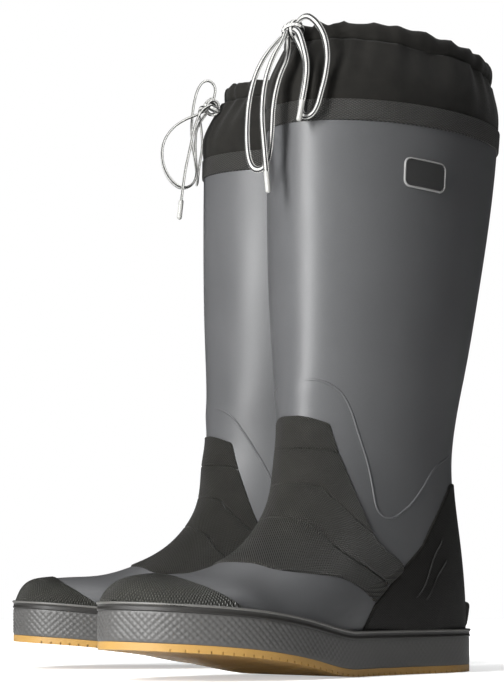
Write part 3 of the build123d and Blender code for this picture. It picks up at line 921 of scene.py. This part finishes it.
def make_badge(side):
    """A plain plaque with a pale raised rim and a dark, empty field."""
    half = np.array(BADGE_SIZE) / 2 - BADGE_CORNER

    def plaque(points):
        offset = points[:, 1:] - np.array(BADGE_CENTRE)
        turned = np.stack([
            offset[:, 0] * cos(BADGE_TILT) + offset[:, 1] * sin(BADGE_TILT),
            offset[:, 1] * cos(BADGE_TILT) - offset[:, 0] * sin(BADGE_TILT),
        ], axis=1)
        beyond = np.abs(turned) - half
        outside = np.linalg.norm(np.maximum(beyond, 0), axis=1)
        inner = np.minimum(beyond.max(axis=1), 0)
        distance = BADGE_CORNER - outside - inner
        return np.where(points[:, 0] > 0, distance, -10.0)

    def height(field):
        rim = 1.3 * np.sqrt(np.clip(1 - (1 - np.clip(field / 0.5, 0, 1)) ** 2, 0, 1))
        drop = 0.6 * np.clip((field - 1.1) / 0.4, 0, 1)
        return rim - drop

    piece = layer(f"plaque_{side}", side, plaque, (boot.knots[-4], boot.knots[-2]), 1.0, height, -0.4,
                  side_rows, ["plaque_rim", "plaque"], (0.0, 0.2, 0.5, 1.1, 1.3, 1.5), 1.2,
                  (1.7 * pi, 2.3 * pi))
    finish_piece(piece, side, "plaque_rubber", "badge")


# ---- raised lines ------------
SHAFT_LINES = {
    1: [(158, 185.5), (152, 185), (143.5, 179), (136.5, 168), (128.5, 144.5), (122, 110.7), (117.5, 101),
        (107, 99.5), (96, 105), (78, 120), (60.5, 135), (29, 148)],
    -1: [(158, 184), (149, 178), (140.5, 165.5), (132, 151.5), (123, 134.5), (116, 108), (107, 99.5),
         (96, 105), (78, 120), (60.5, 135), (29, 148)],
}
HEEL_LINES = [[(59, 87), (70, 73), (87, 49)], [(53, 74), (65, 62), (76, 48)]]


def on_skin(side_view, across):
    """Angles and distances of side-view points on one flank of the boot."""
    low, high = (FRONT, FULL_TURN[1]) if across > 0 else (FULL_TURN[0], FRONT)
    theta, where = np.meshgrid(np.linspace(low, high, 240), np.linspace(0, boot.length, 420))
    theta, where = theta.ravel(), where.ravel()
    known = boot.base(theta, where)[0][:, 1:]
    found = []
    for target in np.asarray(side_view, float):
        i = np.argmin(((known - target) ** 2).sum(axis=1))
        spot = np.array([theta[i], where[i]])
        for _ in range(4):
            probe = np.array([spot, spot + [1e-3, 0], spot + [0, 0.1]])
            p = boot.base(probe[:, 0], probe[:, 1])[0][:, 1:]
            slope = np.stack([(p[1] - p[0]) / 1e-3, (p[2] - p[0]) / 0.1], axis=1)
            move = np.linalg.lstsq(slope, target - p[0], rcond=0.05)[0]
            spot = spot + np.clip(move, [-0.05, -3.0], [0.05, 3.0])
        found.append(spot)
    return np.array(found)


def raised_line(name, side, side_view, across, width, height, growth, look, slot):
    """A half-round rib that follows the skin along a side-view line and tapers at its ends."""
    path = smooth_line(on_skin(side_view, across), 12)
    base, out = boot.base(path[:, 0], path[:, 1])
    out /= np.linalg.norm(out, axis=1)[:, None]
    tangent = np.gradient(base, axis=0)
    tangent /= np.linalg.norm(tangent, axis=1)[:, None]
    over = np.cross(tangent, out)
    over /= np.linalg.norm(over, axis=1)[:, None]
    share = np.linspace(0, 1, len(path))
    taper = np.clip(np.minimum(share, 1 - share) * 12, 0.15, 1)[:, None]
    offsets = np.linspace(-1, 1, 7)
    rows = [base + over * (o * width / 2) + out * (growth - 0.15 + height * taper * (1 - o * o))
            for o in offsets]
    rows.append(base + over * width / 2 + out * (growth - 0.7))
    rows.append(base - over * width / 2 + out * (growth - 0.7))
    points = np.stack(rows, axis=1).reshape(-1, 3)
    faces = turned_over(tube_faces(len(path), len(rows)))
    piece = boot_object(name, points, faces, side, [LOOKS[look]])
    finish_piece(piece, side, slot)


def make_lines(side):
    for across, word in ((1, "outer"), (-1, "inner")):
        raised_line(f"shaft_line_{word}_{side}", side, SHAFT_LINES[across], across, 1.9, 0.75, 0.0,
                    "shell", "grey_rubber")
        for number, points in enumerate(HEEL_LINES, 1):
            raised_line(f"heel_line_{word}_{number}_{side}", side, points, across, 1.2, 1.0, OVERLAY,
                        "trim", "black_rubber")


# ---- sole ------------
def closed_curve(points, count):
    """Evenly spaced points on the periodic cubic spline through the points."""
    p = np.asarray(points, float)
    n = len(p)
    gap = np.linalg.norm(np.roll(p, -1, axis=0) - p, axis=1)
    left, right = np.zeros((n, n)), np.zeros((n, 2))
    for i in range(n):
        before, after = gap[i - 1], gap[i]
        left[i, i - 1] += before
        left[i, i] += 2 * (before + after)
        left[i, (i + 1) % n] += after
        right[i] = 6 * ((p[(i + 1) % n] - p[i]) / after - (p[i] - p[i - 1]) / before)
    second = np.linalg.solve(left, right)
    dense = []
    for i in range(n):
        b = np.linspace(0, 1, 60, endpoint=False)[:, None]
        a = 1 - b
        j = (i + 1) % n
        curved = (a**3 - a) * second[i] + (b**3 - b) * second[j]
        dense.append(a * p[i] + b * p[j] + curved * gap[i] ** 2 / 6)
    dense = np.vstack(dense + [dense[0][:1]])
    run = np.concatenate([[0.0], np.cumsum(np.linalg.norm(np.diff(dense, axis=0), axis=1))])
    spots = np.linspace(0, run[-1], count, endpoint=False)
    even = np.stack([np.interp(spots, run, dense[:, k]) for k in range(2)], axis=1)
    return even, run[-1]


def form_depth(outline, inward, high):
    """How far inside the outline the boot's surface is, at a height above the sole."""
    theta, where = np.meshgrid(np.linspace(*FULL_TURN, 721), np.linspace(0, 320.0, 321))
    points = boot.base(theta.ravel(), where.ravel())[0]
    near = points[np.abs(over_sole(points, high)) < 0.6]
    depth = []
    for start, direction in zip(outline, inward):
        offset = near[:, [1, 0]] - start
        run = offset @ direction
        aside = np.abs(offset @ np.array([-direction[1], direction[0]]))
        hit = (aside < 1.2) & (run > -2) & (run < 30)
        depth.append(run[hit].min() if hit.any() else 6.0)
    depth = np.array(depth)
    window = np.ones(15) / 15
    return np.convolve(np.concatenate([depth[-7:], depth, depth[:7]]), window, "valid")


# inset and height above the band's top edge, and which of these rows belong to the lip, painted paler as a
# highlight
PIPING_PROFILE = [
    (0.4, -0.4), (-0.25, -0.3), (-0.6, 0.2), (-0.6, 0.7), (-0.2, 1.2), (-0.1, 2.9), (-0.6, 3.4), (-1.0, 3.9),
    (-1.0, 4.4), (-0.6, 4.8), (0.1, 4.95),
]
PIPING_LIP_HIGHLIGHT = (6, 7, 8)
BEAD_LENGTH = 4.6
BEAD_HEIGHT = 4.2
OUTLINE_COUNT = 1080
OUTLINE, PERIMETER = closed_curve(SOLE_OUTLINE, OUTLINE_COUNT)
ALONG = np.roll(OUTLINE, -1, axis=0) - np.roll(OUTLINE, 1, axis=0)
INWARD = np.stack([-ALONG[:, 1], ALONG[:, 0]], axis=1)
INWARD /= np.linalg.norm(INWARD, axis=1)[:, None]
if ((np.array([150.0, 0.0]) - OUTLINE[0]) @ INWARD[0]) < 0:
    INWARD = -INWARD
TOP_DEPTH = form_depth(OUTLINE, INWARD, PIPING_TOP)


def swept_ring(name, side, rows, look_names, slot, node_name, row_look=None):
    """A closed ring round the sole: each row is (inset, height above the sole) for every outline point."""
    count = OUTLINE_COUNT
    points = []
    for inset, high in rows:
        flat = OUTLINE + INWARD * np.broadcast_to(inset, (count,))[:, None]
        z = np.broadcast_to(high, (count,)) + lift(OUTLINE[:, 0])
        points.append(np.stack([flat[:, 1], flat[:, 0], z], axis=1))
    points = np.vstack(points)
    faces = tube_faces(len(rows), count, closed=True)
    uv = tube_uv(len(rows), count, PERIMETER / count, 1.0)
    a, b, c = (points[i] for i in faces[0][:3])
    outward = np.cross(b - a, c - a)
    if outward[[1, 0]] @ INWARD[0] > 0:
        faces = [face[::-1] for face in faces]
        uv = [corners[::-1] for corners in uv]
    face_material = np.repeat(row_look or [0] * len(rows), count)
    materials = [LOOKS[look] for look in look_names]
    piece = boot_object(name, points, faces, side, materials, uv, 60, face_material)
    finish_piece(piece, side, slot, node_name)


def make_sole(side):
    run = np.arange(OUTLINE_COUNT) * PERIMETER / OUTLINE_COUNT
    strength = 0.14 + 0.42 * np.clip((OUTLINE[:, 0] - 150) / 90, 0, 1)
    low, top = OUTSOLE_THICKNESS + 0.8, FOXING_TOP - 0.3
    rows = [(0.55, OUTSOLE_THICKNESS - 0.05), (0.2, OUTSOLE_THICKNESS + 0.3)]
    for high in np.linspace(low, top, 30):
        first = np.cos(pi * (run / BEAD_LENGTH + high / BEAD_HEIGHT))
        second = np.cos(pi * (run / BEAD_LENGTH - high / BEAD_HEIGHT))
        inside = np.clip(min(high - low, top - high) / 1.5, 0.0, 1.0)
        bead = np.abs(first * second) ** 0.8 * inside
        rows.append((0.15 - strength * bead, high))
    rows += [(3.0, FOXING_TOP), (TOP_DEPTH + 1.0, FOXING_TOP), (TOP_DEPTH + 1.0, OUTSOLE_THICKNESS)]
    swept_ring(f"foxing_band_{side}", side, rows, ["foxing"], "foxing_rubber", "foxing")

    rows = [(inset, FOXING_TOP + rise) for inset, rise in PIPING_PROFILE]
    rows += [(TOP_DEPTH * 0.6, PIPING_TOP - 0.4), (TOP_DEPTH + 0.8, PIPING_TOP - 0.2)]
    rows.append((TOP_DEPTH + 0.8, FOXING_TOP))
    # the lip rows take the paler look, a painted highlight
    row_look = [int(index in PIPING_LIP_HIGHLIGHT) for index in range(len(rows))]
    swept_ring(f"piping_strip_{side}", side, rows, ["piping", "lip"], "black_rubber", "foxing_piping",
               row_look)


SPUR_PROFILE = [
    (14, 28.6), (4, 28.4), (-1.2, 29.2), (-3.4, 34), (-5.2, 40), (-5.9, 43.6), (-4.6, 45.6), (0, 46.4),
    (14, 47),
]
SPUR_HALF_WIDTH = 17.0
SPUR_ROOT = 8.0
SPUR_MIDDLE = 38.0


def make_kick_tab(side):
    """The small spur on the heel, rounded and blended into the heel guard at both ends."""
    profile = smooth_line(SPUR_PROFILE, 4)
    proud = np.minimum(profile[:, 0] - SPUR_ROOT, 0)
    behind = np.maximum(profile[:, 0] - SPUR_ROOT, 0)
    columns = np.linspace(-1, 1, 25)
    rings = []
    for share in columns:
        fade = 1 - abs(share) ** 6
        x = np.full(len(profile), share * SPUR_HALF_WIDTH)
        forward = SPUR_ROOT + behind + proud * (0.75 + 0.25 * fade) + 1.2 * share * share
        height = SPUR_MIDDLE + (profile[:, 1] - SPUR_MIDDLE) * (0.88 + 0.12 * fade)
        rings.append(np.stack([x, forward, height], axis=1))
    faces = tube_faces(len(columns), len(profile))
    piece = boot_object(f"kick_spur_{side}", np.vstack(rings), faces, side, [LOOKS["smooth"]])
    finish_piece(piece, side, "black_rubber", "kick_tab")


# ---- collar ------------
collar_skin = Skin(collar_sections)


# numbers of ripples round the collar, from wide folds to fine gathers
FOLDS, DRIFTS, PLEATS, GATHERS = range(5, 12), range(8, 15), range(17, 34), range(36, 60)
SEEDS = {"left": 11, "right": 23}
COLLAR_COLUMNS = 540
CLOTH_THICKNESS = 0.7
COLLAR_FLAT = (510.0, 56.0)
HEM_FLAT = 470.0


def waves(theta, seed, counts):
    """Repeatable uneven ripples round the collar, between about -1 and 1."""
    draw = np.random.default_rng(seed)
    total = np.zeros_like(theta)
    weight = 0.0
    for count in counts:
        size = draw.uniform(0.5, 1.0)
        total += size * np.sin(count * theta + draw.uniform(0, 2 * pi))
        weight += size
    return total / weight * 1.8


def cloth_ring(name, side, rings, round_length, rise, node_name):
    """A closed tube of cloth from rings of points round the collar."""
    rows, columns = rings.shape[:2]
    uv = tube_uv(rows, columns, round_length / columns, rise)
    faces = tube_faces(rows, columns, closed=True)
    piece = boot_object(name, rings.reshape(-1, 3), faces, side, [LOOKS["nylon"]], uv, 70)
    finish_piece(piece, side, "nylon", node_name)
    return piece


def make_collar(side):
    seed = SEEDS[side]
    theta = np.linspace(0, 2 * pi, COLLAR_COLUMNS, endpoint=False)
    pleats = waves(theta, seed, PLEATS)
    folds = waves(theta, seed + 1, FOLDS)
    outer = []
    for share in np.linspace(0, 1, 36):
        base, out = collar_skin.base(theta, np.full(COLLAR_COLUMNS, share * collar_skin.length))
        drift = waves(theta + 0.12 * share, seed + 2, DRIFTS)
        rise = np.clip((share - 0.12) / 0.88, 0, 1)
        puff = np.clip(1.9 * rise**1.4 * pleats + 1.8 * rise * folds + 1.0 * rise * drift, -4.0, 2.8)
        outer.append(base + out * (puff - 0.2 + 0.8 * rise)[:, None])
    outer = np.stack(outer)
    inward = outer.mean(axis=1, keepdims=True) - outer
    inward[..., 2] = 0
    inward /= np.linalg.norm(inward, axis=2, keepdims=True)
    rings = np.concatenate([outer, (outer + inward * CLOTH_THICKNESS)[::-1]])
    collar = cloth_ring(f"collar_cloth_{side}", side, rings, COLLAR_FLAT[0], 1.5, "collar")

    fine = waves(theta, seed + 3, GATHERS)
    peaks = 0.7 - np.abs(waves(theta, seed + 4, DRIFTS))
    base = level_oval(theta, HEM_SECTION, 0.0)
    out = level_oval(theta, HEM_SECTION, 1.0) - base
    up = np.array([0.0, 0.0, 1.0])
    rings = []
    for angle in np.linspace(0, 2 * pi, 28, endpoint=False):
        high, across = sin(angle), cos(angle)
        size_up = 6.4 + 0.5 * pleats + 0.4 * fine + (2.4 * peaks if high > 0 else 0.0)
        size_out = 3.5 + 0.3 * fine
        shove = 0.6 * pleats + (0.5 * fine + 1.1 * pleats) * max(high, 0)
        rings.append(base + out * (across * size_out + shove)[:, None] + up * (high * size_up - 0.4)[:, None])
    rings = np.stack(rings)[::-1]
    hem = cloth_ring(f"collar_hem_cloth_{side}", side, rings, HEM_FLAT, 1.2, "collar_hem")


for side in SIDES:
    make_shell(side)
    make_guards(side)
    make_trim(side)
    make_badge(side)
    make_lines(side)
    make_sole(side)
    make_kick_tab(side)
    make_collar(side)
    make_laces(side)


# ---- stage ------------
CAMERA_PLACE = Vector((1.2742, -0.7825, 0.05))
CAMERA_VIEW = Vector((-0.8579, 0.5139, 0.0))
CAMERA_PITCH = radians(6.39)
CAMERA_LENS = 113.1
ROOM_LIGHT = 0.04
FLOOR_EDGES = (-3, 3)


def make_camera():
    data = bpy.data.cameras.new("camera")
    data.sensor_width = 36.0
    data.lens = CAMERA_LENS
    data.clip_end = 50.0
    camera = bpy.data.objects.new("camera", data)
    camera.location = CAMERA_PLACE
    direction = CAMERA_VIEW.normalized() * cos(CAMERA_PITCH) + Vector((0, 0, sin(CAMERA_PITCH)))
    camera.rotation_euler = direction.to_track_quat("-Z", "Y").to_euler()
    bpy.context.scene.collection.objects.link(camera)
    bpy.context.scene.camera = camera


LIGHT_AIM = Vector((0.0, 0.0, 0.2))


def softbox(name, bearing, distance, height, size, power):
    """A rectangular soft light, at an angle to the left of the camera as seen from the boots."""
    data = bpy.data.lights.new(name, "AREA")
    data.shape = "RECTANGLE"
    data.size, data.size_y = size
    data.energy = power
    light = bpy.data.objects.new(name, data)
    towards_camera = -CAMERA_VIEW.normalized()
    direction = Matrix.Rotation(radians(-bearing), 3, "Z") @ towards_camera
    light.location = direction * distance + Vector((0, 0, height))
    light.rotation_euler = (LIGHT_AIM - light.location).to_track_quat("-Z", "Y").to_euler()
    bpy.context.scene.collection.objects.link(light)


def make_stage():
    """A pale floor round the boots."""
    made, tree, shader = new_material("stage_paint", 0.9, 0.1)
    tone = mixed_colour(tree, noise(tree, 2.0), (0.86, 0.86, 0.86), (0.9, 0.9, 0.9))
    tree.links.new(tone, shader.inputs["Base Color"])
    shader.inputs["Emission Color"].default_value = (1, 1, 1, 1)
    seen = node(tree, "LightPath").outputs["Is Camera Ray"]
    where = node(tree, "TexCoord").outputs["Object"]
    reach = node(tree, "VectorMath", {0: where}, operation="LENGTH").outputs["Value"]
    fade = node(tree, "MapRange", {0: reach, 1: 0.2, 2: 0.45, 3: 0.45, 4: 1.0}).outputs[0]
    tree.links.new(maths(tree, "MULTIPLY", fade, seen), shader.inputs["Emission Strength"])
    away = CAMERA_VIEW.normalized()
    across = Vector((-away.y, away.x, 0))
    below = Vector((0, 0, -0.0003))
    points = [away * run + across * edge + below for run in FLOOR_EDGES for edge in FLOOR_EDGES]
    new_object("studio_floor", np.array(points), [(0, 1, 3, 2)], [made])


def make_world():
    """A dim room that the camera sees as plain white."""
    world = bpy.data.worlds.new("studio")
    bpy.context.scene.world = world
    world.use_nodes = True
    tree = world.node_tree
    background = tree.nodes["Background"]
    background.inputs["Color"].default_value = (1.0, 1.0, 1.0, 1.0)
    seen = node(tree, "LightPath").outputs["Is Camera Ray"]
    strength = node(tree, "MapRange", {0: seen, 3: ROOM_LIGHT, 4: 1.0}).outputs[0]
    tree.links.new(strength, background.inputs["Strength"])


make_camera()
make_stage()
make_world()
softbox("key", 37, 1.5, 0.5, (0.36, 1.3), 54)
softbox("front_fill", 20, 2.2, 0.9, (1.2, 1.2), 2)
softbox("top", 20, 0.2, 2.0, (2.2, 2.2), 33)
bpy.context.scene.view_settings.view_transform = "Standard"
